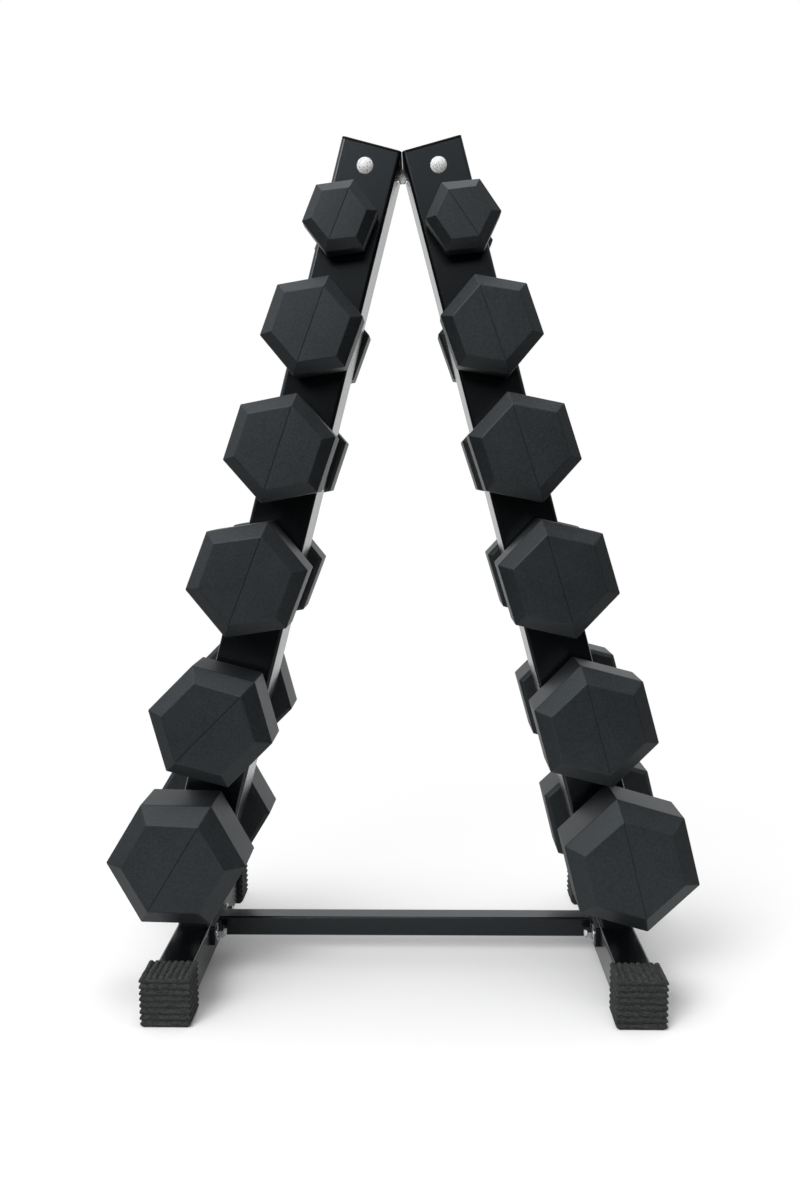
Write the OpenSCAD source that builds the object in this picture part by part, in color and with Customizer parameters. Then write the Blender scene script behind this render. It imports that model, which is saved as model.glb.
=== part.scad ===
// A-frame rack with six pairs of hex dumbbells.
// +Z is up, X runs across the frame and Y from the front to the back.
// The origin is on the floor under the middle of the frame.

/* [Legs] */
// Lean of each leg from the vertical, in degrees
lean = 14.7; // [12:0.1:18]
// Width of a leg, from its inner web to its open outer side
leg_w = 65; // [60:1:75]
// Depth of a leg, from its front face to its rear face
leg_d = 90; // [80:1:100]
// Thickness of the sheet that a leg is folded from
leg_t = 2; // [1.5:0.1:3]
// Outside radius of the folds
leg_fold_r = 4; // [3.5:0.1:6]
// Width of the return lip along each free edge
leg_lip_w = 14; // [10:1:18]
// Length of leg below the lowest notch's centre
leg_tail = 98; // [90:1:120]
// Gap between a leg's lower inner corner and the foot under it
leg_foot_gap = 1; // [0.5:0.1:2]

/* [Notches] */
// Radius of a notch's round end, and half of its width
notch_r = 18; // [17:0.5:19]
// Distance from the open outer side to a notch's centre
notch_depth = 20.5; // [19:0.5:25]
// Rise of a notch towards its mouth, above the level, in degrees
notch_rise = 30; // [26:1:34]
// Rounding of the hook tip under a notch's mouth
notch_tip_r = 5; // [3:0.5:7]
// Rounding of the corner above a notch's mouth
notch_top_r = 8; // [4:0.5:10]
// Distance from a leg's top end to the first notch's centre
first_drop = 80; // [75:1:95]

/* [Dumbbells] */
// Width across the flats of the heads, smallest pair first
head_af = [68.5, 94.5, 104, 113.5, 118, 130]; // [60:0.5:135]
// Width across the flats of the flat end face
face_af = [48.5, 71, 79, 85, 86.5, 93.5]; // [40:0.5:100]
// Length of a head, along the handle
head_len = [38, 51, 64, 69, 75, 80]; // [30:1:90]
// Length of the wide outer bevel, along the handle
bevel_len = [9.5, 11, 11.5, 12.5, 14, 16.5]; // [8:0.5:20]
// Fall of an end face's two halves, away from the fold between them
face_fold = 0.8; // [0.4:0.1:1.2]
// Size of the small bevel on the handle side
inner_bevel = [3, 3.5, 4, 4, 4, 4.5]; // [2:0.5:6]
// Gap between a leg's face and the head beside it
head_side_gap = [5, 5, 7, 8, 9, 13]; // [3:1:16]
// Radius of the handle where it lies in the notches
grip_r = [12.5, 12.5, 14.5, 14.5, 14.5, 14.5]; // [12:0.5:15]
// Turn of each left dumbbell about its handle, in degrees
left_roll = [7.4, 9.5, 10.9, 8.7, -15.2, -1.4]; // [-30:0.1:30]
// Turn of each right dumbbell about its handle, in degrees
right_roll = [65, 49.7, 48.2, 46.9, 45.4, 43.9]; // [30:0.1:90]
// Spare room between the corner circles of neighbouring heads
tier_gap = [22.6, 18, 15.7, 27, 10.5]; // [10:0.1:40]
// Gap between a handle and the notch that it rests in
seat_gap = 0.3; // [0.1:0.1:0.5]
// Thickness of the rubber coat on a head
coat_t = 4; // [3:0.5:5]
// Extra radius at the middle of the handle's swell
swell_h = 2; // [1:0.5:3]
// Half of the swell's length
swell_half = 27; // [20:1:28]
// Radial clearance of the handle in the heads
handle_fit = 0.05; // [0.02:0.01:0.1]

/* [Top joint] */
// Distance from a leg's inner face to its top bolt
top_bolt_in = 34; // [30:1:38]
// Distance from a leg's top end to its top bolt
top_bolt_drop = 21; // [20:1:26]
// Thickness of the link plate between the legs
link_t = 5; // [4:0.5:8]
// Radius of the link plate's ends
link_end_r = 13; // [11:0.5:14]
// Half of the height of the link plate's arms at its bolts
link_arm = 11.5; // [9:0.5:12.5]
// Depth of the link plate's top below the apex
link_top_drop = 4; // [3:0.5:6]
// Depth of the link plate's lower edge below the apex
link_low_drop = 16; // [14:0.5:20]
// Outside diameter of the spacer sleeves
sleeve_d = 14; // [12:0.5:16]
// Thickness of the plastic plug's flange
plug_flange_t = 2.5; // [2:0.1:4]
// Depth of the plastic plug's skirt
plug_skirt = 12; // [8:0.5:13]
// Wall of the plastic plug's skirt
plug_wall = 2; // [1.5:0.1:3]
// Half of the gap between the two plugs' inner top edges
plug_gap = 0.15; // [0.1:0.05:0.5]

/* [Feet] */
// Width of a foot tube
foot_w = 40; // [36:1:44]
// Height of a foot tube
foot_h = 40; // [36:1:46]
// Length of a foot tube
foot_len = 355; // [320:5:420]
// Wall of a foot tube
foot_t = 2; // [1.5:0.1:3]
// Outside corner radius of a foot tube
foot_r = 3; // [2.5:0.1:4]
// Step from a foot tube's inner face to the leg's lower corner
foot_step = 1; // [0:0.5:3]
// Width of the socket post that stands inside a leg
post_w = 34; // [30:1:36]
// Length of the socket post inside a leg
post_len = 64; // [56:1:66]
// Wall of the socket post
post_t = 3; // [2:0.5:4]
// Clearance between the post and the leg's front and rear
post_fit = 0.3; // [0.2:0.1:0.5]
// Distances from a leg's lower end to its two bolts
leg_bolt_up = [24, 50]; // [20:1:55]

/* [Foot caps] */
// Thickness of rubber under a foot tube
cap_base = 7; // [5:0.5:10]
// Thickness of rubber beside and above a foot tube
cap_side = 6.5; // [5:0.5:8]
// Thickness of rubber over a foot tube's end
cap_end = 6; // [5:0.5:8]
// Length of a cap
cap_len = 42; // [35:1:55]
// Number of ribs up each face
cap_ribs = 8; // [6:1:10]
// Size of the slanting cut along a cap's lower edges
cap_cut = 4; // [2:0.5:6]
// Depth of the grooves between ribs
rib_depth = 1.7; // [1:0.1:2.4]
// Clearance between a cap and its foot tube
cap_fit = 0.15; // [0.1:0.05:0.3]

/* [Crossbar] */
// Depth of the crossbar, front to back
bar_d = 25; // [20:1:30]
// Height of the crossbar
bar_h = 23; // [20:1:30]
// Wall of the crossbar
bar_t = 1.5; // [1.2:0.1:2.5]
// Outside corner radius of the crossbar
bar_r = 2.5; // [2:0.1:3]
// How much shorter the flange on each end is than a leg is deep
flange_short = 6; // [4:1:12]
// Thickness of that flange
flange_t = 5; // [4:0.5:6]
// Distance of the flange's bolts from the middle of the bar
flange_bolt = 29; // [26:1:32]

/* [Fasteners] */
// Diameter of every bolt's shank
bolt_d = 8; // [6:0.5:8]
// Diameter of a bolt's domed head
bolt_head_d = 17.4; // [16:0.1:21]
// Height of a bolt's domed head
bolt_head_h = 3.4; // [3:0.1:5]
// Width of a nut across its flats
nut_af = 13; // [12:0.5:14]
// Height of a nut
nut_h = 6.5; // [5:0.5:7]
// Outside diameter of a washer
washer_d = 20; // [17:0.5:21]
// Thickness of a washer
washer_t = 1.6; // [1.2:0.1:2]
// Length of thread that stands out of a nut
thread_out = 2.5; // [1.5:0.5:3]
// Radial clearance around a shank in a drilled hole
hole_fit = 0.5; // [0.3:0.1:0.8]
// Radial clearance of a nut on its thread
thread_fit = 0.05; // [0.02:0.01:0.1]

/* [Hidden] */
$fn = 64;
PAIRS = 6;
SIDES = ["left", "right"];
HEX = 6;
// The corner of a head that the fold of its end face starts from
FOLD = 1;
// How far a cutter stands past the face that it cuts
over = 1;

FRAME_NODES = [
    "left_leg", "right_leg", "left_leg_plug", "right_leg_plug",
    "link_plate", "top_bolts", "top_spacers", "top_washers", "top_nuts",
    "left_foot", "right_foot", "leg_posts", "leg_bolts", "leg_washers", "leg_nuts",
    "crossbar", "crossbar_flanges", "foot_bolts", "foot_washers", "foot_nuts",
    "front_left_foot_cap", "front_right_foot_cap",
    "rear_left_foot_cap", "rear_right_foot_cap"
];
BELL_NODES = [
    for (side = SIDES, i = [1:PAIRS], piece = ["heads", "cores", "handle"])
        str(side, "_dumbbell_", i, "_", piece)
];

// Radius from a head's axis to its corners
function corner_r(i) = head_af[i] / sqrt(3);

// Distance down the leg to a notch's centre: the heads clear each other
function drop(i) = i == 0 ? first_drop
    : drop(i - 1) + corner_r(i - 1) + corner_r(i) + tier_gap[i - 1];

foot_top = cap_base + foot_h;
// Half of the gap between the legs' inner top corners: the plugs' flanges meet above it
apex_gap = plug_gap + plug_flange_t * sin(lean);
leg_len = drop(PAIRS - 1) + leg_tail;
apex_z = foot_top + leg_foot_gap + leg_len * cos(lean);
foot_x = apex_gap + leg_len * sin(lean) - foot_step + foot_w / 2;
bar_len = 2 * (foot_x - foot_w / 2 - flange_t);
bar_z = foot_top - bar_h / 2;

// World place of a point on the right leg: u out from its web, s down its length
function leg_x(u, s) = apex_gap + u * cos(lean) + s * sin(lean);
function leg_z(u, s) = apex_z + u * sin(lean) - s * cos(lean);

// Half of the clear handle between two heads
function grip_half(i) = leg_d / 2 + head_side_gap[i];

// A handle rests at the lowest point of its notch
function bell_x(i) = leg_x(notch_in, drop(i));
function bell_z(i) = leg_z(notch_in, drop(i)) - (notch_r - grip_r[i] - seat_gap);

flange_len = leg_d - flange_short;
dome_r = (pow(bolt_head_d / 2, 2) + pow(bolt_head_h, 2)) / (2 * bolt_head_h);
post_u = leg_t;
post_d = leg_d - 2 * leg_t - 2 * post_fit;
post_bolt_u = post_u + post_w / 2;
leg_bolt_len = leg_d + washer_t + nut_h + thread_out;
foot_bolt_len = foot_w + flange_t + washer_t + nut_h + thread_out;
sleeve_len = leg_d / 2 - leg_t - link_t / 2;
hole_r = bolt_d / 2 + hole_fit;
notch_tilt = notch_rise - lean;
notch_in = leg_w - notch_depth;

PAINT = "#26282b";
PLASTIC = "#1c1d1f";
RUBBER = "#2c2f30";
COAT = "#34383a";
ZINC = "#c9ccce";
IRON = "#55585a";
CHROME = "#d8dadd";

// ---------- shared shapes ----------

// The right leg's own frame: +X out from its web, +Z up its length, top end at 0
module on_right_leg() {
    translate([apex_gap, 0, apex_z])
        rotate([0, -lean, 0])
            children();
}

module on_left_leg() {
    mirror([1, 0, 0])
        on_right_leg()
            children();
}

module on_both_legs() {
    on_left_leg() children();
    on_right_leg() children();
}

module rounded_rect(size, r) {
    square([size.x, size.y - 2 * r], center = true);
    square([size.x - 2 * r, size.y], center = true);
    for (x = [-1, 1], y = [-1, 1])
        translate([x * (size.x / 2 - r), y * (size.y / 2 - r)])
            circle(r);
}

// A tube's section: a rounded outline with an even wall
module tube_section(size, r, wall) {
    difference() {
        rounded_rect(size, r);
        rounded_rect(size - 2 * [wall, wall], max(r - wall, 0.4));
    }
}

// Extrudes an outline drawn in X and Z along Y, centred
module along_y(length) {
    rotate([90, 0, 0])
        linear_extrude(length, center = true)
            children();
}

// The waste outside a rounded corner at p, between edges that leave at a and b
module corner_waste(p, a, b, r) {
    half = (b - a) / 2;
    mid = [cos((a + b) / 2), sin((a + b) / 2)];
    centre = p + r / sin(half) * mid;
    tangent = r / tan(half);
    difference() {
        polygon([
            p - mid,
            p + tangent * [cos(a), sin(a)],
            centre,
            p + tangent * [cos(b), sin(b)]
        ]);
        translate(centre) circle(r);
    }
}

// ---------- fasteners ----------

// A carriage bolt along +Z: a dome, a square neck and a shank
module carriage_bolt(length, neck) {
    intersection() {
        translate([0, 0, dome_r - bolt_head_h]) sphere(dome_r);
        translate([0, 0, -bolt_head_h]) cylinder(d = bolt_head_d, h = bolt_head_h);
    }
    translate([-bolt_d / 2, -bolt_d / 2, 0]) cube([bolt_d, bolt_d, neck]);
    cylinder(d = bolt_d, h = length);
}

module washer() {
    difference() {
        cylinder(d = washer_d, h = washer_t);
        translate([0, 0, -over]) cylinder(r = hole_r, h = washer_t + 2 * over);
    }
}

module nut() {
    difference() {
        cylinder(d = nut_af / cos(30), h = nut_h, $fn = HEX);
        translate([0, 0, -over])
            cylinder(r = bolt_d / 2 + thread_fit, h = nut_h + 2 * over);
    }
}

// The holes of one through bolt: square in the front face, round behind it
module through_hole() {
    side = bolt_d + 2 * thread_fit;
    translate([-side / 2, -leg_d / 2 - over, -side / 2])
        cube([side, leg_t + 2 * over, side]);
    rotate([90, 0, 0]) cylinder(r = hole_r, h = leg_d + 2 * over, center = true);
}

// Places a piece of one leg's through bolt, y behind the leg's front face
module at_leg_bolt(u, s, y) {
    translate([u, y - leg_d / 2, -s])
        rotate([-90, 0, 0])
            children();
}

// ---------- legs ----------

// A notch seen from the front, with its centre at the origin
module notch_profile() {
    circle(notch_r);
    rotate(notch_tilt)
        translate([0, -notch_r])
            square([leg_w, 2 * notch_r]);
    lip = notch_r / cos(notch_tilt);
    climb = notch_depth * tan(notch_tilt);
    corner_waste([notch_depth, climb - lip], 180 + notch_tilt, 270, notch_tip_r);
    corner_waste([notch_depth, climb + lip], 90, 180 + notch_tilt, notch_top_r);
}

// A leg's section: X out from the web, Y front to back
module leg_section() {
    difference() {
        translate([leg_w / 2, 0]) tube_section([leg_w, leg_d], leg_fold_r, leg_t);
        translate([leg_w - leg_t - over, -leg_d / 2 + leg_lip_w])
            square([leg_t + 2 * over, leg_d - 2 * leg_lip_w]);
    }
}

// A deep lipped channel with six hooked notches cut through both its faces
module leg() {
    slot_w = link_t + 2 * hole_fit;
    slot_depth = link_low_drop + link_t + over;
    difference() {
        translate([0, 0, -leg_len]) linear_extrude(leg_len) leg_section();
        for (i = [0:PAIRS - 1])
            translate([notch_in, 0, -drop(i)])
                along_y(leg_d + 2 * over)
                    notch_profile();
        translate([top_bolt_in, 0, -top_bolt_drop]) through_hole();
        for (up = leg_bolt_up)
            translate([post_bolt_u, 0, up - leg_len]) through_hole();
        // Slot in the web that the link plate drops into
        translate([-over, -slot_w / 2, -slot_depth])
            cube([leg_fold_r + 2 * over, slot_w, slot_depth + over]);
    }
}

module left_leg() { color(PAINT) on_left_leg() leg(); }
module right_leg() { color(PAINT) on_right_leg() leg(); }

// The plug in a leg's top end: a flange and a hollow skirt
module leg_plug() {
    skirt = [leg_w, leg_d] - 2 * [leg_t + cap_fit, leg_t + cap_fit];
    translate([leg_w / 2, 0, 0])
        linear_extrude(plug_flange_t)
            rounded_rect([leg_w, leg_d], leg_fold_r);
    difference() {
        translate([leg_w / 2, 0, -plug_skirt])
            linear_extrude(plug_skirt)
                tube_section(skirt, leg_fold_r - leg_t, plug_wall);
        translate([0, -link_t / 2 - over, -plug_skirt - over])
            cube([leg_t + plug_wall + 2 * over, link_t + 2 * over, plug_skirt + over]);
    }
}

module left_leg_plug() { color(PLASTIC) on_left_leg() leg_plug(); }
module right_leg_plug() { color(PLASTIC) on_right_leg() leg_plug(); }

// ---------- top joint ----------

// The plate that ties the legs together, seen in the gap under the apex
module link_plate() {
    bolt = [leg_x(top_bolt_in, top_bolt_drop), leg_z(top_bolt_in, top_bolt_drop)];
    along = min(link_arm, 0.95 * link_end_r) * [sin(lean), -cos(lean)];
    upper = bolt - along;
    lower = bolt + along;
    nose_r = link_low_drop * tan(lean) - hole_fit;
    color(ZINC)
        difference() {
            along_y(link_t) {
                polygon([
                    [0, apex_z - link_low_drop],
                    lower,
                    upper,
                    [0, apex_z - link_top_drop],
                    [-upper.x, upper.y],
                    [-lower.x, lower.y]
                ]);
                for (side = [-1, 1])
                    translate([side * bolt.x, bolt.y])
                        circle(link_end_r);
                translate([0, apex_z - link_low_drop]) circle(nose_r);
            }
            for (side = [-1, 1])
                translate([side * bolt.x, 0, bolt.y])
                    rotate([90, 0, 0])
                        cylinder(r = hole_r, h = link_t + 2 * over, center = true);
        }
}

module top_bolts() {
    color(ZINC)
        on_both_legs()
            at_leg_bolt(top_bolt_in, top_bolt_drop, 0)
                carriage_bolt(leg_bolt_len, leg_t);
}

module top_spacers() {
    color(ZINC)
        on_both_legs()
            for (y = [leg_t, leg_d / 2 + link_t / 2])
                at_leg_bolt(top_bolt_in, top_bolt_drop, y)
                    difference() {
                        cylinder(d = sleeve_d, h = sleeve_len);
                        translate([0, 0, -over])
                            cylinder(r = hole_r, h = sleeve_len + 2 * over);
                    }
}

module top_washers() {
    color(ZINC) on_both_legs() at_leg_bolt(top_bolt_in, top_bolt_drop, leg_d) washer();
}

module top_nuts() {
    color(ZINC)
        on_both_legs()
            at_leg_bolt(top_bolt_in, top_bolt_drop, leg_d + washer_t)
                nut();
}

// ---------- feet ----------

// A foot tube with the crossbar's bolt holes
module foot() {
    side = bolt_d + 2 * thread_fit;
    difference() {
        translate([foot_x, 0, foot_top - foot_h / 2])
            along_y(foot_len)
                tube_section([foot_w, foot_h], foot_r, foot_t);
        for (y = [-1, 1] * flange_bolt) {
            translate([foot_x - foot_w / 2 - over, y, bar_z])
                rotate([0, 90, 0])
                    cylinder(r = hole_r, h = foot_t + 2 * over);
            translate([foot_x + foot_w / 2 - foot_t - over, y - side / 2, bar_z - side / 2])
                cube([foot_t + 2 * over, side, side]);
        }
    }
}

module left_foot() { color(PAINT) mirror([1, 0, 0]) foot(); }
module right_foot() { color(PAINT) foot(); }

// The leaning posts welded on top of the feet, which stand inside the legs
module leg_posts() {
    color(PAINT)
        difference() {
            on_both_legs()
                translate([post_bolt_u, 0, -leg_len - foot_h])
                    linear_extrude(post_len + foot_h)
                        tube_section([post_w, post_d], foot_r, post_t);
            translate([-2 * foot_x, -leg_d, foot_top - 2 * foot_h])
                cube([4 * foot_x, 2 * leg_d, 2 * foot_h]);
            on_both_legs()
                for (up = leg_bolt_up)
                    at_leg_bolt(post_bolt_u, leg_len - up, 0)
                        cylinder(r = hole_r, h = leg_d);
        }
}

module leg_bolts() {
    color(ZINC)
        on_both_legs()
            for (up = leg_bolt_up)
                at_leg_bolt(post_bolt_u, leg_len - up, 0)
                    carriage_bolt(leg_bolt_len, leg_t);
}

module leg_washers() {
    color(ZINC)
        on_both_legs()
            for (up = leg_bolt_up)
                at_leg_bolt(post_bolt_u, leg_len - up, leg_d)
                    washer();
}

module leg_nuts() {
    color(ZINC)
        on_both_legs()
            for (up = leg_bolt_up)
                at_leg_bolt(post_bolt_u, leg_len - up, leg_d + washer_t)
                    nut();
}

// A ribbed rubber cap on the front end of the right foot
module foot_cap() {
    width = foot_w + 2 * cap_side;
    height = foot_top + cap_side;
    pitch_z = height / cap_ribs;
    pitch_x = width / cap_ribs;
    rib_z = pitch_z / 2;
    rib_x = pitch_x / 2;
    front = -foot_len / 2 - cap_end;
    difference() {
        intersection() {
            // Seen from the front: ribs up both sides and across the top
            translate([foot_x, front + cap_len / 2, 0])
                along_y(cap_len)
                    difference() {
                        union() {
                            translate([rib_depth - width / 2, 0])
                                square([width - 2 * rib_depth, height - rib_depth]);
                            for (i = [0:cap_ribs - 1]) {
                                for (side = [-1, 1])
                                    translate([
                                        side * (width / 2 - rib_z),
                                        (i + 0.5) * pitch_z
                                    ])
                                        circle(rib_z);
                                translate([
                                    (i + 0.5) * pitch_x - width / 2,
                                    height - rib_x
                                ])
                                    circle(rib_x);
                            }
                        }
                        for (side = [-1, 1])
                            translate([side * width / 2, 0])
                                rotate(45)
                                    square(sqrt(2) * cap_cut, center = true);
                    }
            // Seen from the side: ribs up the end face
            translate([foot_x, front, 0])
                rotate([90, 0, 90])
                    linear_extrude(width + 2 * over, center = true) {
                        translate([rib_depth, 0]) square([cap_len - rib_depth, height]);
                        for (i = [0:cap_ribs - 1])
                            translate([rib_z, (i + 0.5) * pitch_z])
                                circle(rib_z);
                    }
        }
        translate([foot_x - foot_w / 2 - cap_fit, -foot_len / 2, cap_base])
            cube([foot_w + 2 * cap_fit, cap_len, foot_h + 2 * cap_fit]);
    }
}

module front_left_foot_cap() { color(RUBBER) mirror([1, 0, 0]) foot_cap(); }
module front_right_foot_cap() { color(RUBBER) foot_cap(); }
module rear_left_foot_cap() { color(RUBBER) mirror([0, 1, 0]) mirror([1, 0, 0]) foot_cap(); }
module rear_right_foot_cap() { color(RUBBER) mirror([0, 1, 0]) foot_cap(); }

// ---------- crossbar ----------

module crossbar() {
    color(PAINT)
        translate([0, 0, bar_z])
            rotate([90, 0, 90])
                linear_extrude(bar_len, center = true)
                    tube_section([bar_d, bar_h], bar_r, bar_t);
}

module crossbar_flanges() {
    color(PAINT)
        for (side = [-1, 1])
            translate([side * (bar_len + flange_t) / 2, 0, bar_z])
                rotate([90, 0, 90])
                    linear_extrude(flange_t, center = true)
                        difference() {
                            rounded_rect([flange_len, bar_h], bar_r);
                            for (y = [-1, 1] * flange_bolt)
                                translate([y, 0])
                                    circle(hole_r);
                        }
}

// Places a piece of the foot's bolts, x inwards from the foot's outer face
module at_foot_bolts(x) {
    for (mirrored = [0, 1], y = [-1, 1] * flange_bolt)
        mirror([mirrored, 0, 0])
            translate([foot_x + foot_w / 2 - x, y, bar_z])
                rotate([0, -90, 0])
                    children();
}

module foot_bolts() { color(ZINC) at_foot_bolts(0) carriage_bolt(foot_bolt_len, foot_t); }
module foot_washers() { color(ZINC) at_foot_bolts(foot_w + flange_t) washer(); }
module foot_nuts() { color(ZINC) at_foot_bolts(foot_w + flange_t + washer_t) nut(); }

// ---------- dumbbells ----------

// Rings of a head from its handle side, as [distance to a flat, place along +Y],
// all set in from the head's surface by inset
function head_rings(i, inset) = let (
    side = head_af[i] / 2,
    face = face_af[i] / 2,
    slope = atan2(side - face, bevel_len[i]),
    nip = inset * tan(22.5)
) [
    [side - inner_bevel[i] - nip, inset],
    [side - inset, inner_bevel[i] + nip],
    [side - inset, head_len[i] - bevel_len[i] - inset * tan(slope / 2)],
    [face - inset * tan((90 - slope) / 2), head_len[i] - inset]
];

// A hex head along +Y with flat bevels, and its corners at 0, 60, 120 degrees.
// The end face is folded between its corners at 60 and 240 degrees, and its
// other corners slide down the edges of the bevels, which stay flat.
module hex_head(i, inset) {
    rings = head_rings(i, inset);
    last = len(rings) - 1;
    spread = (rings[last - 1].x - rings[last].x) / (rings[last].y - rings[last - 1].y);
    points = [
        for (j = [0:last], k = [0:HEX - 1])
            let (
                fall = j == last && k % (HEX / 2) != FOLD ? face_fold : 0,
                r = (rings[j].x + fall * spread) / cos(30)
            )
            [r * cos(360 * k / HEX), rings[j].y - fall, r * sin(360 * k / HEX)]
    ];
    sides = [
        for (j = [0:last - 1], k = [0:HEX - 1])
            let (a = HEX * j + k, b = HEX * j + (k + 1) % HEX)
            [a, b, b + HEX, a + HEX]
    ];
    near = [for (k = [HEX - 1:-1:0]) k];
    far_halves = [
        for (start = [FOLD, FOLD + HEX / 2])
            [for (k = [start:start + HEX / 2]) HEX * last + k % HEX]
    ];
    polyhedron(points, concat(sides, [near], far_halves));
}

// Depth of the handle's end inside a head
function handle_in(i) = 0.6 * head_len[i];

// Bore for the handle, from the head's handle side
module handle_bore(i, depth) {
    translate([0, -over, 0])
        rotate([-90, 0, 0])
            cylinder(r = grip_r[i] + handle_fit, h = depth + over);
}

// Places both heads of a pair's dumbbell on its handle
module on_both_ends(i) {
    for (flip = [0, 1])
        mirror([0, flip, 0])
            translate([0, grip_half(i), 0])
                children();
}

// Places a left or right dumbbell on its leg and turns it about its handle
module on_rack(side, i) {
    way = side == "left" ? -1 : 1;
    roll = side == "left" ? left_roll[i] : right_roll[i];
    translate([way * bell_x(i), 0, bell_z(i)])
        rotate([0, -roll, 0])
            children();
}

// The rubber coats of both heads
module heads(i) {
    color(COAT)
        on_both_ends(i)
            difference() {
                hex_head(i, 0);
                hex_head(i, coat_t);
                handle_bore(i, 2 * coat_t);
            }
}

// The cast iron inside both heads
module cores(i) {
    color(IRON)
        on_both_ends(i)
            difference() {
                hex_head(i, coat_t);
                handle_bore(i, handle_in(i));
            }
}

// The steel handle, with a swell in the middle of the grip
module handle(i) {
    reach = grip_half(i) + handle_in(i);
    arc_r = (pow(swell_half, 2) + pow(swell_h, 2)) / (2 * swell_h);
    color(CHROME)
        rotate([90, 0, 0]) {
            cylinder(r = grip_r[i], h = 2 * reach, center = true);
            rotate_extrude()
                intersection() {
                    translate([grip_r[i] + swell_h - arc_r, 0]) circle(arc_r, $fn = 360);
                    translate([0, -swell_half]) square([2 * grip_r[i], 2 * swell_half]);
                }
        }
}

// ---------- the part ----------

left_leg();
right_leg();
left_leg_plug();
right_leg_plug();
link_plate();
top_bolts();
top_spacers();
top_washers();
top_nuts();
left_foot();
right_foot();
leg_posts();
leg_bolts();
leg_washers();
leg_nuts();
crossbar();
crossbar_flanges();
foot_bolts();
foot_washers();
foot_nuts();
front_left_foot_cap();
front_right_foot_cap();
rear_left_foot_cap();
rear_right_foot_cap();
for (side = SIDES, i = [1:PAIRS]) {
    on_rack(side, i - 1) heads(i - 1);
    on_rack(side, i - 1) cores(i - 1);
    on_rack(side, i - 1) handle(i - 1);
}
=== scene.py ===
import math

import bmesh
import bpy
from mathutils import Matrix, Vector, noise


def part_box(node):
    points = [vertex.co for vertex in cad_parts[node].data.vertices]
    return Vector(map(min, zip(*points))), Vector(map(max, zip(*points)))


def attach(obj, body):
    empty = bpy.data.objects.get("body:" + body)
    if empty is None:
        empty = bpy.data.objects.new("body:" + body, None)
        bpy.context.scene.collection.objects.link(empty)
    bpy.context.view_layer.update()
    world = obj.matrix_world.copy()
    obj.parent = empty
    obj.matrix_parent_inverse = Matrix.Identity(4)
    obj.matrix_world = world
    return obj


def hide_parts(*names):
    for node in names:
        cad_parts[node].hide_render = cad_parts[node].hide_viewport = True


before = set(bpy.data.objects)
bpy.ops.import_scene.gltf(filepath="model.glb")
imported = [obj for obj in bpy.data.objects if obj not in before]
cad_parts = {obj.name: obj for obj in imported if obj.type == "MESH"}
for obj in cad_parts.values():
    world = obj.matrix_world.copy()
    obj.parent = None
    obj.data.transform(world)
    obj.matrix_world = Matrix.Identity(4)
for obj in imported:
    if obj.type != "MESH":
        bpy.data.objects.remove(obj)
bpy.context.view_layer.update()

# ---------------------------------------------------------------------------
# Camera: 1.2 m in front of the rack at a little over its middle height,
# turned a degree to the left and tipped slightly down.
# ---------------------------------------------------------------------------
lens = bpy.data.cameras.new("camera")
lens.sensor_width = 36
lens.lens = 31.9
camera = bpy.data.objects.new("camera", lens)
camera.matrix_world = (
    Matrix.Translation((0.0187, -1.2155, 0.5567))
    @ Matrix.Rotation(math.radians(1.095), 4, "Z")
    @ Matrix.Rotation(math.radians(90 - 6.343), 4, "X")
    @ Matrix.Rotation(math.radians(-0.228), 4, "Z")
)
bpy.context.scene.collection.objects.link(camera)
bpy.context.scene.camera = camera


# ---------------------------------------------------------------------------
# Studio: a white floor that runs into a white backdrop, lit by a bright
# backdrop, a soft overhead light and a softbox at the upper left.
# ---------------------------------------------------------------------------
class Wire:
    """A node's output. Arithmetic on it adds Math nodes to its material."""

    def __init__(self, socket):
        self.socket = socket

    def node(self, kind, settings=None, inputs=None, out=0):
        """Adds a node: first its settings, then its sockets' values or links."""
        tree = self.socket.id_data
        made = tree.nodes.new(kind)
        for name, value in (settings or {}).items():
            setattr(made, name, value)
        for key, value in (inputs or {}).items():
            target = made.inputs[key]
            if isinstance(value, Wire):
                tree.links.new(value.socket, target)
            else:
                target.default_value = value
        return Wire(made.outputs[out])

    def math(self, operation, *values):
        """A Math node on this value and up to two more."""
        values = dict(enumerate((self, *values)))
        return self.node("ShaderNodeMath", {"operation": operation}, values)

    def __add__(self, other):
        return self.math("ADD", other)

    __radd__ = __add__

    def __mul__(self, other):
        return self.math("MULTIPLY", other)

    __rmul__ = __mul__

    def __sub__(self, other):
        return self.math("SUBTRACT", other)

    def __rsub__(self, other):
        return -1 * self + other

    def noise(self, scale, detail=2, roughness=0.5):
        """A noise from 0 to 1, with this wire as its place."""
        inputs = {"Scale": scale, "Detail": detail, "Roughness": roughness}
        return self.node("ShaderNodeTexNoise", inputs={"Vector": self, **inputs})

    def between(self, low, high):
        """This value from 0 at low to 1 at high, eased at both ends."""
        return self.node(
            "ShaderNodeMapRange",
            {"interpolation_type": "SMOOTHSTEP"},
            {"Value": self, "From Min": low, "From Max": high},
        )

    def blend(self, first, second):
        """A colour that goes from first to second as this value goes from 0 to 1."""
        colours = [c if isinstance(c, Wire) else (*c, 1) for c in (first, second)]
        return self.node(
            "ShaderNodeMix",
            {"data_type": "RGBA"},
            {"Factor": self, 6: colours[0], 7: colours[1]},
            out=2,
        )


def bump(height, distance):
    """The normal of a surface with that height, distance metres deep."""
    return height.node("ShaderNodeBump", inputs={"Height": height, "Distance": distance})


def ray(wire):
    """1 for rays from the camera and through glass, which see the studio white."""
    straight = wire.node("ShaderNodeLightPath", out="Is Camera Ray")
    through = wire.node("ShaderNodeLightPath", out="Is Transmission Ray")
    return straight.math("MAXIMUM", through)


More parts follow.
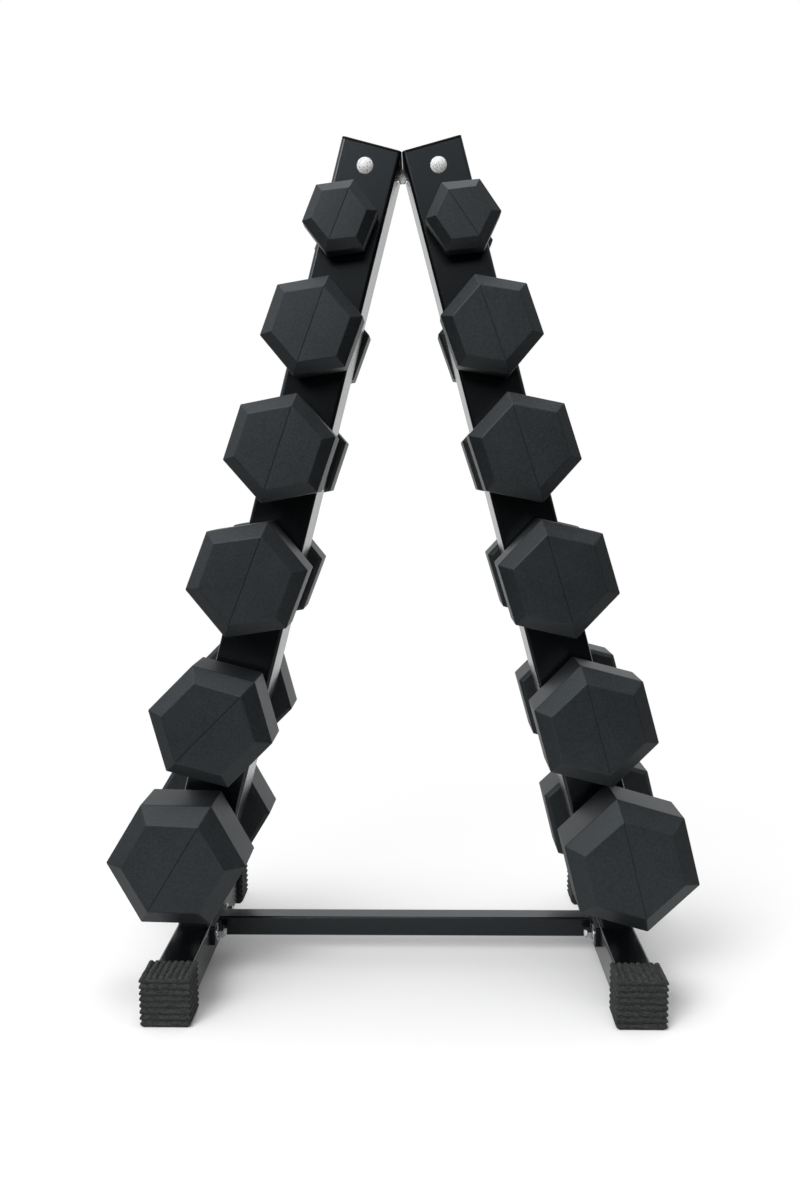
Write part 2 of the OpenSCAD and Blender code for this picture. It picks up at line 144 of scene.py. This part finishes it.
floor_material = bpy.data.materials.new("studio_floor")
floor_material.use_nodes = True
floor_tree = floor_material.node_tree
floor_tree.nodes.remove(floor_tree.nodes["Principled BSDF"])
# The floor keeps its shadows around the rack's front and feet. Past that it
# runs into the white backdrop behind, and into the dark room in front
floor_radius = 14
shadow_middle = (0, -0.2, 0)
floor_grey = (0.4, 0.4, 0.4)
floor_white = (0.9, 0.9, 0.9)
spot = Wire(floor_tree.nodes.new("ShaderNodeTexCoord").outputs["Object"])
along = spot.node("ShaderNodeSeparateXYZ", inputs={"Vector": spot}, out="Y")
away = spot.node(
    "ShaderNodeVectorMath", {"operation": "DISTANCE"},
    {0: spot, 1: shadow_middle}, out="Value",
).between(0.25, 1.05)
away = away.math("MAXIMUM", along.between(-0.06, 0.34) * 0.9)
seen = ray(spot)
glow = seen + (1 - seen) * (along.between(-0.2, 0.8) * 0.95 + 0.05)
mirrored = seen.math("MAXIMUM", spot.node("ShaderNodeLightPath", out="Is Glossy Ray"))
far_floor = spot.node("ShaderNodeEmission", inputs={"Strength": glow})
near_floor = spot.node(
    "ShaderNodeBsdfDiffuse",
    inputs={"Color": mirrored.blend(floor_grey, floor_white), "Roughness": 0.5},
)
whole_floor = away.node(
    "ShaderNodeMixShader", inputs={0: away, 1: near_floor, 2: far_floor}
)
floor_tree.links.new(
    whole_floor.socket, floor_tree.nodes["Material Output"].inputs["Surface"]
)
floor_mesh = bmesh.new()
bmesh.ops.create_circle(floor_mesh, cap_ends=True, segments=96, radius=floor_radius)
floor_data = bpy.data.meshes.new("studio_floor")
floor_mesh.to_mesh(floor_data)
floor_data.materials.append(floor_material)
floor = bpy.data.objects.new("studio_floor", floor_data)
bpy.context.scene.collection.objects.link(floor)

bpy.context.scene.view_settings.view_transform = "Standard"
world = bpy.data.worlds.new("studio")
bpy.context.scene.world = world
world.use_nodes = True
sky = world.node_tree.nodes["Background"]
towards = Wire(world.node_tree.nodes.new("ShaderNodeTexCoord").outputs["Generated"])
across, depth, height = (
    towards.node("ShaderNodeSeparateXYZ", inputs={"Vector": towards}, out=axis)
    for axis in "XYZ"
)
# The backdrop is bright, and metal mirrors its middle as white. The room in
# front is dark up to the overhead softboxes, which are stronger on the left
glossy = towards.node("ShaderNodeLightPath", out="Is Glossy Ray")
edge_depth = glossy * 0.35
backdrop = depth.between(edge_depth, edge_depth + 0.45)
overhead = height.between(0.12, 0.32) * (1.25 - across.between(-0.5, 0.7) * 0.8)
overhead = overhead * (1 - height.between(0.45, 0.9) * 0.2)
room = backdrop + (1 - backdrop) * (overhead + 0.02)
white = ray(towards).math("MAXIMUM", glossy * backdrop)
world.node_tree.links.new((white + (1 - white) * room).socket, sky.inputs["Strength"])
sky.inputs["Color"].default_value = (1, 1, 1, 1)


def softbox(name, place, aim, size, power):
    """A square lamp at place that faces aim."""
    lamp = bpy.data.lights.new(name, "AREA")
    lamp.shape = "SQUARE"
    lamp.size = size
    lamp.energy = power
    box = bpy.data.objects.new(name, lamp)
    turn = (Vector(aim) - Vector(place)).to_track_quat("-Z", "Y")
    box.matrix_world = Matrix.Translation(place) @ turn.to_matrix().to_4x4()
    bpy.context.scene.collection.objects.link(box)


softbox("softbox_left", (-1.4, -2.6, 2.4), (0, 0, 0.5), size=1.6, power=56)
softbox("softbox_top", (0, 0, 3.0), (0, 0, 0.3), size=1.1, power=17)


# ---------------------------------------------------------------------------
# Legs: two deep channels folded from 2 mm steel sheet, notched for the
# handles and powder coated satin black. Their cut edges are lightly rounded.
# ---------------------------------------------------------------------------
def material(name, **fixed):
    """A material with its fixed values set, its shader, and the place on it."""
    made = bpy.data.materials.new(name)
    made.use_nodes = True
    shader = made.node_tree.nodes["Principled BSDF"]
    for key, value in fixed.items():
        shader.inputs[key.replace("_", " ")].default_value = value
    place = Wire(made.node_tree.nodes.new("ShaderNodeTexCoord").outputs["Object"])
    return made, shader, place


def feed(shader, name, wire):
    """Links a wire to one of the shader's sockets."""
    shader.id_data.links.new(wire.socket, shader.inputs[name])


def powder_coat():
    """Satin black powder coat: a fine orange peel with a few specks of dust."""
    made, shader, place = material("powder_coat")
    # Painted light colour: the reflections are tinted cool blue for the bluish studio
    # light.
    shader.inputs["Specular Tint"].default_value = (0.84, 0.94, 1.0, 1)
    cloud = place.noise(9, 3)
    peel = place.noise(750, 2)
    dust = place.noise(420, 1).between(0.74, 0.8)
    black = cloud.blend((0.0022, 0.0025, 0.003), (0.0045, 0.005, 0.006))
    feed(shader, "Base Color", (dust * 0.5).blend(black, (0.05, 0.052, 0.055)))
    feed(shader, "Roughness", cloud * 0.08 + peel * 0.04 + 0.16)
    feed(shader, "Normal", bump(peel, 0.00008))
    return made


merge_slack = 2e-6
flat_angle = math.radians(0.4)
crease_angle = math.radians(32)
cut_slack = 1e-7
fine_rim = 0.0003


def solid_of(node):
    """A merged copy of a CAD node's mesh with its flat faces joined up."""
    mesh = bmesh.new()
    mesh.from_mesh(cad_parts[node].data)
    bmesh.ops.remove_doubles(mesh, verts=mesh.verts, dist=merge_slack)
    bmesh.ops.dissolve_limit(
        mesh, angle_limit=flat_angle, verts=mesh.verts, edges=mesh.edges
    )
    return mesh


def soften(mesh, width, segments=2, sharp=28):
    """Rounds a mesh's sharp edges and lets its curves shade smoothly."""
    edges = [
        e for e in mesh.edges
        if e.is_manifold and e.calc_face_angle() > math.radians(sharp)
    ]
    bmesh.ops.bevel(
        mesh, geom=edges, offset=width, offset_type="OFFSET", segments=segments,
        affect="EDGES", profile=0.5, material=-1, clamp_overlap=True,
    )
    for face in mesh.faces:
        face.smooth = True


def with_rims(faces):
    """Some faces with their edges and vertices, each of them once."""
    rims = [edge for face in faces for edge in face.edges]
    corners = [vert for face in faces for vert in face.verts]
    return list(dict.fromkeys([*faces, *rims, *corners]))


def piece(name, mesh, body, slot, finish, *nodes):
    """Makes a finished mesh a piece that stands for CAD nodes on a body."""
    data = bpy.data.meshes.new(name)
    mesh.to_mesh(data)
    mesh.free()
    data.set_sharp_from_angle(angle=crease_angle)
    data.materials.append(finish)
    made = bpy.data.objects.new(name, data)
    bpy.context.scene.collection.objects.link(made)
    even = made.modifiers.new("even_normals", "WEIGHTED_NORMAL")
    even.keep_sharp = True
    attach(made, body)
    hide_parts(*nodes)
    return made


black_paint = powder_coat()
for side in ("left", "right"):
    leg = solid_of(f"{side}_leg")
    soften(leg, fine_rim)
    piece(f"{side}_channel", leg, "rack", "frame_paint", black_paint, f"{side}_leg")

# ---------------------------------------------------------------------------
# Leg plugs: matt black moulded plastic caps pressed into the legs' top ends.
# Their flanges are undercut, which leaves a dark line above each leg.
# ---------------------------------------------------------------------------
def moulded_plastic():
    """Black nylon with a fine spark-eroded grain."""
    made, shader, place = material("moulded_plastic", Specular_IOR_Level=0.25)
    grain = place.noise(1600, 2)
    patch = place.noise(30, 2)
    black = patch.blend((0.0025, 0.0025, 0.003), (0.006, 0.006, 0.0065))
    feed(shader, "Base Color", black)
    feed(shader, "Roughness", grain * 0.2 + 0.45)
    feed(shader, "Normal", bump(grain, 0.00006))
    return made


undercut_height = 0.0011
undercut_depth = 0.0012


def undercut(plug):
    """Slants the lower part of a plug's flange inwards, down to the leg's end."""
    top = max(plug.faces, key=lambda f: f.calc_area() * (f.normal.z > 0.9))
    start, up = top.calc_center_median(), top.normal.copy()
    sides = [f for e in top.edges for f in e.link_faces if abs(f.normal.dot(up)) < 0.1]
    rims = list(dict.fromkeys(v for f in sides for v in f.verts))
    thick = max((start - v.co).dot(up) for v in rims)
    lower = [v for v in rims if (start - v.co).dot(up) > 0.9 * thick]
    moves = [
        sum((f.normal for f in v.link_faces if f in sides), Vector()).normalized()
        for v in lower
    ]
    bmesh.ops.bisect_plane(
        plug, geom=with_rims(sides), plane_co=start - up * (thick - undercut_height),
        plane_no=up, dist=cut_slack,
    )
    for vert, out in zip(lower, moves):
        vert.co -= out * undercut_depth
    plug.normal_update()


black_plastic = moulded_plastic()
for side in ("left", "right"):
    plug = solid_of(f"{side}_leg_plug")
    undercut(plug)
    soften(plug, fine_rim)
    piece(
        f"{side}_end_plug", plug, "rack", "plug_plastic", black_plastic,
        f"{side}_leg_plug",
    )


# ---------------------------------------------------------------------------
# Top joint and fasteners: bolts with a cut thread in speckled zinc plate, painted
# near white for the reflection of the front light that zinc shows, and chamfered
# hex nuts, washers, sleeves and the link plate in bright zinc.
# ---------------------------------------------------------------------------
def zinc_plate():
    """Zinc plate over steel: a little rough, with dark pin specks. Its near-white
    colour, with no metal in it, is a painted reflection of the front light.
    """
    made, shader, place = material("zinc_plate")
    spangle = place.noise(260, 3)
    specks = place.noise(780, 1).between(0.56, 0.62)
    # Painted reflection: a near-white base stands in for the front light that zinc
    # mirrors. The dark pin specks are real.
    reflection_white = spangle.blend((0.95, 0.955, 0.96), (1.0, 1.0, 1.0))
    feed(shader, "Base Color", (specks * 0.7).blend(reflection_white, (0.2, 0.2, 0.21)))
    feed(shader, "Roughness", spangle * 0.2 + specks * 0.2 + 0.3)
    feed(shader, "Normal", bump(spangle, 0.00012))
    return made


def bright_zinc(name, scale, depth):
    """Zinc plate with a shine: hard glints that a slight unevenness breaks up."""
    made, shader, place = material(name, Metallic=1.0)
    uneven = place.noise(scale, 3)
    feed(shader, "Base Color", uneven.blend((0.78, 0.79, 0.80), (0.93, 0.94, 0.95)))
    feed(shader, "Roughness", uneven * 0.15 + 0.1)
    feed(shader, "Normal", bump(uneven, depth))
    return made


thread_pitch = 0.00125
thread_depth = 0.0005
thread_cuts = 8
tip_reach = 0.05
nut_chamfer = 0.0008
nut_face = 0.97
nut_steps = 48
link_rim = 0.0008


def solids_in(mesh):
    """The vertices of each separate solid in a mesh."""
    seen = set()
    for start in mesh.verts:
        if start in seen:
            continue
        seen.add(start)
        reached = [start]
        for vert in reached:
            for edge in vert.link_edges:
                other = edge.other_vert(vert)
                if other not in seen:
                    seen.add(other)
                    reached.append(other)
        yield reached


def extent(verts):
    """The middle and the size of a few vertices' box."""
    low, high = (Vector(map(pick, zip(*(v.co for v in verts)))) for pick in (min, max))
    return (low + high) / 2, high - low


def cut_threads(mesh):
    """Cuts V grooves round the last few millimetres of each bolt's shank."""
    tips = []
    for verts in solids_in(mesh):
        middle, size = extent(verts)
        along = max(range(3), key=lambda k: size[k])
        axis = Vector((0, 0, 0))
        axis[along] = 1
        wide = max(
            verts,
            key=lambda v: (v.co - middle - axis * (v.co - middle)[along]).length,
        )
        if wide.co[along] > middle[along]:
            axis.negate()
        tips.append((middle + axis * size[along] / 2, axis))
    for tip, axis in tips:
        for turn in range(1, thread_cuts + 1):
            level = tip - axis * turn * thread_pitch / 2
            nearby = [
                f for f in mesh.faces
                if (f.calc_center_median() - tip).length < tip_reach
                and abs(f.normal.dot(axis)) < 0.5
            ]
            cut = bmesh.ops.bisect_plane(
                mesh, geom=with_rims(nearby), plane_co=level, plane_no=axis,
                dist=cut_slack,
            )
            if turn % 2 == 0:
                for vert in cut["geom_cut"]:
                    if isinstance(vert, bmesh.types.BMVert):
                        spoke = vert.co - level
                        vert.co -= spoke.normalized() * thread_depth


def hex_nut(corner, bore, height):
    """A nut along Z: a chamfered ring, cut flat on six sides."""
    nut = bmesh.new()
    flat = corner * math.cos(math.pi / 6)
    face = nut_face * flat
    ledge = (corner - face) * math.tan(math.pi / 6)
    half = height / 2
    lead = nut_chamfer / 2
    profile = [
        (bore + lead, -half), (face, -half), (corner, ledge - half),
        (corner, half - ledge), (face, half), (bore + lead, half),
        (bore, half - lead), (bore, lead - half),
    ]
    ring = [nut.verts.new((radius, 0, level)) for radius, level in profile]
    edges = [nut.edges.new((ring[k - 1], ring[k])) for k in range(len(ring))]
    bmesh.ops.spin(
        nut, geom=ring + edges, cent=(0, 0, 0), axis=(0, 0, 1), angle=math.tau,
        steps=nut_steps, use_merge=True, use_duplicate=False,
    )
    for side in range(6):
        turn = math.pi / 6 + side * math.pi / 3
        out = Vector((math.cos(turn), math.sin(turn), 0))
        cut = bmesh.ops.bisect_plane(
            nut, geom=nut.verts[:] + nut.edges[:] + nut.faces[:],
            plane_co=out * flat, plane_no=out, clear_outer=True, dist=cut_slack,
        )
        rim = [e for e in cut["geom_cut"] if isinstance(e, bmesh.types.BMEdge)]
        bmesh.ops.contextual_create(nut, geom=rim)
    bmesh.ops.recalc_face_normals(nut, faces=nut.faces)
    for face in nut.faces:
        face.smooth = True
    return nut


def nuts_of(node):
    """Chamfered nuts in the places of a CAD node's plain ones."""
    plain = solid_of(node)
    nuts = bmesh.new()
    for verts in solids_in(plain):
        middle, size = extent(verts)
        along = min(range(3), key=lambda k: size[k])
        axis = Vector((0, 0, 0))
        axis[along] = 1
        spokes = [(v.co - middle) - axis * (v.co - middle)[along] for v in verts]
        spokes.sort(key=lambda spoke: spoke.length)
        corner = spokes[-1].normalized()
        nut = hex_nut(spokes[-1].length, spokes[0].length, size[along])
        turned = Matrix((corner, axis.cross(corner), axis)).transposed().to_4x4()
        one = bpy.data.meshes.new("one_nut")
        nut.transform(Matrix.Translation(middle) @ turned)
        nut.to_mesh(one)
        nut.free()
        nuts.from_mesh(one)
        bpy.data.meshes.remove(one)
    plain.free()
    return nuts


# The bolts' zinc is painted near white, for its reflection of the front light.
reflection_white_zinc = zinc_plate()
shiny_zinc = bright_zinc("bright_zinc", 240, 0.00012)
grained_zinc = bright_zinc("grained_zinc", 1800, 0.00004)
for joint in ("top", "leg", "foot"):
    bolts = solid_of(f"{joint}_bolts")
    soften(bolts, fine_rim)
    cut_threads(bolts)
    piece(f"{joint}_carriage_bolts", bolts, "rack", "zinc", reflection_white_zinc, f"{joint}_bolts")
    washers = solid_of(f"{joint}_washers")
    soften(washers, fine_rim)
    piece(
        f"{joint}_plain_washers", washers, "rack", "zinc", shiny_zinc,
        f"{joint}_washers",
    )
    nuts = nuts_of(f"{joint}_nuts")
    piece(f"{joint}_hex_nuts", nuts, "rack", "zinc", shiny_zinc, f"{joint}_nuts")
link = solid_of("link_plate")
soften(link, link_rim)
piece("shaped_link", link, "rack", "zinc", grained_zinc, "link_plate")
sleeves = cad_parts["top_spacers"].data.materials
sleeves.clear()
sleeves.append(shiny_zinc)

# ---------------------------------------------------------------------------
# Feet, posts, crossbar and flanges: square tube and bar, welded and coated
# like the legs.
# ---------------------------------------------------------------------------
for node, width in (
    ("left_foot", 0.0004),
    ("right_foot", 0.0004),
    ("leg_posts", 0.0004),
    ("crossbar", 0.0003),
    ("crossbar_flanges", 0.0008),
):
    part = solid_of(node)
    soften(part, width)
    piece(f"{node}_coated", part, "rack", "frame_paint", black_paint, node)

# ---------------------------------------------------------------------------
# Welds: a rippled bead on the front and the rear of each end of the crossbar,
# in the corner that it makes with its flange, coated with them.
# ---------------------------------------------------------------------------
bead_radius = 0.0023
bead_end = 0.0012
bead_tip = 0.35
ripple_pitch = 0.0016
ripple_height = 0.14
rings_per_ripple = 5
bead_sides = 12

bar_low, bar_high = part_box("crossbar")
welds = bmesh.new()
for x in (bar_low.x, bar_high.x):
    for y in (bar_low.y, bar_high.y):
        inset = bead_end + bead_radius
        length = bar_high.z - bar_low.z - 2 * inset
        count = int(length / ripple_pitch) * rings_per_ripple
        rings = []
        for k in range(count + 1):
            wave = abs(math.sin(math.pi * k / rings_per_ripple))
            radius = bead_radius * (1 - ripple_height + ripple_height * wave)
            radius *= min(1, bead_tip + min(k, count - k) / rings_per_ripple)
            level = bar_low.z + inset + length * k / count
            rings.append([
                welds.verts.new((
                    x + radius * math.cos(math.tau * side / bead_sides),
                    y + radius * math.sin(math.tau * side / bead_sides),
                    level,
                ))
                for side in range(bead_sides)
            ])
        for low_ring, high_ring in zip(rings, rings[1:]):
            for side in range(bead_sides):
                after = (side + 1) % bead_sides
                welds.faces.new((
                    low_ring[side], low_ring[after], high_ring[after], high_ring[side]
                ))
        welds.faces.new(rings[0][::-1])
        welds.faces.new(rings[-1])
for face in welds.faces:
    face.smooth = True
piece("crossbar_welds", welds, "rack", "frame_paint", black_paint)


# ---------------------------------------------------------------------------
# Foot caps: blocks of black rubber with ribs all round. The rubber is coarse
# and fibrous, so the ribs wander a little and their skin is torn in streaks.
# ---------------------------------------------------------------------------
def coarse_rubber():
    """Black crumb rubber, streaked along the level."""
    made, shader, place = material("coarse_rubber", Specular_IOR_Level=0.3)
    streaky = place.node(
        "ShaderNodeMapping", inputs={"Vector": place, "Scale": (0.2, 0.2, 1)}
    )
    fibre = streaky.noise(1100, 4, 0.7)
    crumb = place.noise(700, 3, 0.65)
    rough = fibre * 0.6 + crumb * 0.4
    tone = rough.between(0.36, 0.66)
    feed(shader, "Base Color", tone.blend((0.008, 0.009, 0.009), (0.075, 0.079, 0.08)))
    feed(shader, "Roughness", rough * 0.2 + 0.7)
    feed(shader, "Normal", bump(rough, 0.0012))
    return made


cap_rim = 0.0005
slice_step = 0.003
rib_wander = 0.0007
streak_depth = 0.0007
base_height = 0.0005
base_fade = 0.004


def slice_up(mesh, along):
    """Cuts a mesh across one axis every few millimetres, so that it can bend."""
    middle, size = extent(mesh.verts)
    across = Vector((0, 0, 0))
    across[along] = 1
    count = int(size[along] / slice_step)
    for k in range(1, count):
        level = middle + across * size[along] * (k / count - 0.5)
        bmesh.ops.bisect_plane(
            mesh, geom=mesh.verts[:] + mesh.edges[:] + mesh.faces[:],
            plane_co=level, plane_no=across, dist=1e-6,
        )


def wear_rubber(mesh):
    """Lets the ribs wander and tears shallow streaks along them."""
    mesh.normal_update()
    moves = []
    for vert in mesh.verts:
        x, y, z = vert.co
        # The base that stands on the floor stays flat
        free = min(max((z - base_height) / base_fade, 0), 1)
        wander = rib_wander * free * noise.noise((60 * x, 60 * y, 150 * z))
        on_top = abs(vert.normal.z) > 0.6
        grain = (900 * x, 90 * y, 900 * z) if on_top else (110 * x, 110 * y, 900 * z)
        torn = streak_depth * free * (0.5 + 0.5 * noise.noise(grain))
        sway = Vector((wander, 0, 0) if on_top else (0, 0, wander))
        moves.append(sway - vert.normal * torn)
    for vert, move in zip(mesh.verts, moves):
        vert.co += move


cap_rubber = coarse_rubber()
for end in ("front", "rear"):
    for side in ("left", "right"):
        cap = solid_of(f"{end}_{side}_foot_cap")
        soften(cap, cap_rim)
        slice_up(cap, 0)
        slice_up(cap, 1)
        wear_rubber(cap)
        piece(
            f"{end}_{side}_ribbed_cap", cap, "rack", "cap_rubber", cap_rubber,
            f"{end}_{side}_foot_cap",
        )


# ---------------------------------------------------------------------------
# Dumbbell heads: cast iron coated in matt black rubber, with rounded edges
# and a fine groove along the parting line that folds each end face.
# ---------------------------------------------------------------------------
def head_rubber():
    """Matt moulded rubber: a fine pitted grain that turns grey at a glance."""
    made, shader, place = material("head_rubber", Specular_IOR_Level=0.53)
    # Painted light colour: the reflections are tinted cool blue for the bluish studio
    # light.
    shader.inputs["Specular Tint"].default_value = (0.86, 0.95, 1.0, 1)
    grain = place.noise(600, 3, 0.65)
    patch = place.noise(26, 3)
    bloom = place.noise(300, 2)
    tone = (grain * 0.6 + patch * 0.2 + bloom * 0.2).between(0.35, 0.65)
    black = tone.blend((0.0025, 0.0038, 0.0047), (0.015, 0.0175, 0.019))
    feed(shader, "Base Color", black)
    feed(shader, "Roughness", patch * 0.08 + grain * 0.1 + 0.44)
    feed(shader, "Normal", bump(grain, 0.00012))
    return made


head_rim = 0.0009
head_sharp = 14
least_fold = math.radians(1)
groove_half = 0.00035
groove_depth = 0.0009


def cut_groove(mesh, fold):
    """Sinks a narrow groove into an end face, along its fold."""
    start = fold.verts[0].co.copy()
    beside = (fold.verts[1].co - start).cross(Vector((0, 1, 0))).normalized()
    way = math.copysign(1, fold.link_faces[0].normal.y)
    halves = list(fold.link_faces)
    for side in (-1, 1):
        cut = bmesh.ops.bisect_plane(
            mesh, geom=with_rims(halves),
            plane_co=start + beside * side * groove_half, plane_no=beside,
            dist=cut_slack,
        )
        halves = [f for f in cut["geom"] if isinstance(f, bmesh.types.BMFace)]
    strips = [
        f for f in halves
        if abs((f.calc_center_median() - start).dot(beside)) < groove_half
    ]
    sunk = bmesh.ops.extrude_face_region(mesh, geom=strips)
    verts = [v for v in sunk["geom"] if isinstance(v, bmesh.types.BMVert)]
    bmesh.ops.translate(mesh, verts=verts, vec=(0, -way * groove_depth, 0))
    bmesh.ops.delete(mesh, geom=strips, context="FACES")


soft_black = head_rubber()
for side in ("left", "right"):
    for number in range(1, 7):
        name = f"{side}_dumbbell_{number}"
        heads = solid_of(f"{name}_heads")
        soften(heads, head_rim, segments=3, sharp=head_sharp)
        folds = [
            e for e in heads.edges
            if len(e.link_faces) == 2
            and all(abs(f.normal.y) > 0.99 for f in e.link_faces)
            and e.calc_face_angle() > least_fold
        ]
        outermost = sorted(folds, key=lambda e: -abs(e.verts[0].co.y))[:2]
        for fold in outermost:
            cut_groove(heads, fold)
        piece(f"{name}_coats", heads, name, "head_rubber", soft_black, f"{name}_heads")


# ---------------------------------------------------------------------------
# Cores: grey cast iron, sealed inside the coats.
# ---------------------------------------------------------------------------
def cast_iron():
    """Sand-cast iron: dull grey, pitted."""
    made, shader, place = material("cast_iron", Metallic=0.6)
    sand = place.noise(600, 3, 0.65)
    feed(shader, "Base Color", sand.blend((0.10, 0.10, 0.11), (0.24, 0.24, 0.25)))
    feed(shader, "Roughness", sand * 0.3 + 0.5)
    feed(shader, "Normal", bump(sand, 0.0003))
    return made


grey_iron = cast_iron()
for side in ("left", "right"):
    for number in range(1, 7):
        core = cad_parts[f"{side}_dumbbell_{number}_cores"]
        core.data.materials.clear()
        core.data.materials.append(grey_iron)


# ---------------------------------------------------------------------------
# Handles: turned steel, swollen in the middle, knurled and chrome plated.
# ---------------------------------------------------------------------------
knurl_lines = 56
knurl_pitch = 0.0016
knurl_ends = (0.040, 0.043)


def chrome_plate():
    """Bright chrome over a diamond knurl, which fades out towards the heads."""
    made, shader, place = material("chrome_plate", Metallic=1.0)
    rounds = place.node("ShaderNodeUVMap", {"uv_map": "round"})
    turn, along = (
        place.node("ShaderNodeSeparateXYZ", inputs={"Vector": rounds}, out=axis)
        for axis in "XY"
    )
    one, other = (
        (turn * knurl_lines + along * (way / knurl_pitch)).math("PINGPONG", 0.5)
        for way in (-1, 1)
    )
    zone = 1 - along.math("ABSOLUTE").between(*knurl_ends)
    knurl = one.math("MINIMUM", other).between(0.02, 0.2) * zone
    haze = place.noise(500, 2)
    feed(shader, "Base Color", haze.blend((0.74, 0.75, 0.76), (0.84, 0.85, 0.86)))
    feed(shader, "Roughness", haze * 0.12 + zone * 0.08 + 0.08)
    feed(shader, "Normal", bump(knurl, 0.0004))
    return made


def unwrap_round(mesh, axis):
    """A UV map of the turns round an axis along Y and the metres along it."""
    layer = mesh.loops.layers.uv.new("round")
    for face in mesh.faces:
        middle = face.calc_center_median() - axis
        start = math.atan2(middle.z, middle.x)
        for loop in face.loops:
            spot = loop.vert.co - axis
            turn = math.remainder(math.atan2(spot.z, spot.x) - start, math.tau)
            loop[layer].uv = ((start + turn) / math.tau, spot.y)


bright_chrome = chrome_plate()
for side in ("left", "right"):
    for number in range(1, 7):
        name = f"{side}_dumbbell_{number}"
        low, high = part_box(f"{name}_handle")
        grip = solid_of(f"{name}_handle")
        soften(grip, fine_rim)
        unwrap_round(grip, (low + high) / 2)
        piece(
            f"{name}_grip", grip, name, "handle_chrome", bright_chrome,
            f"{name}_handle",
        )
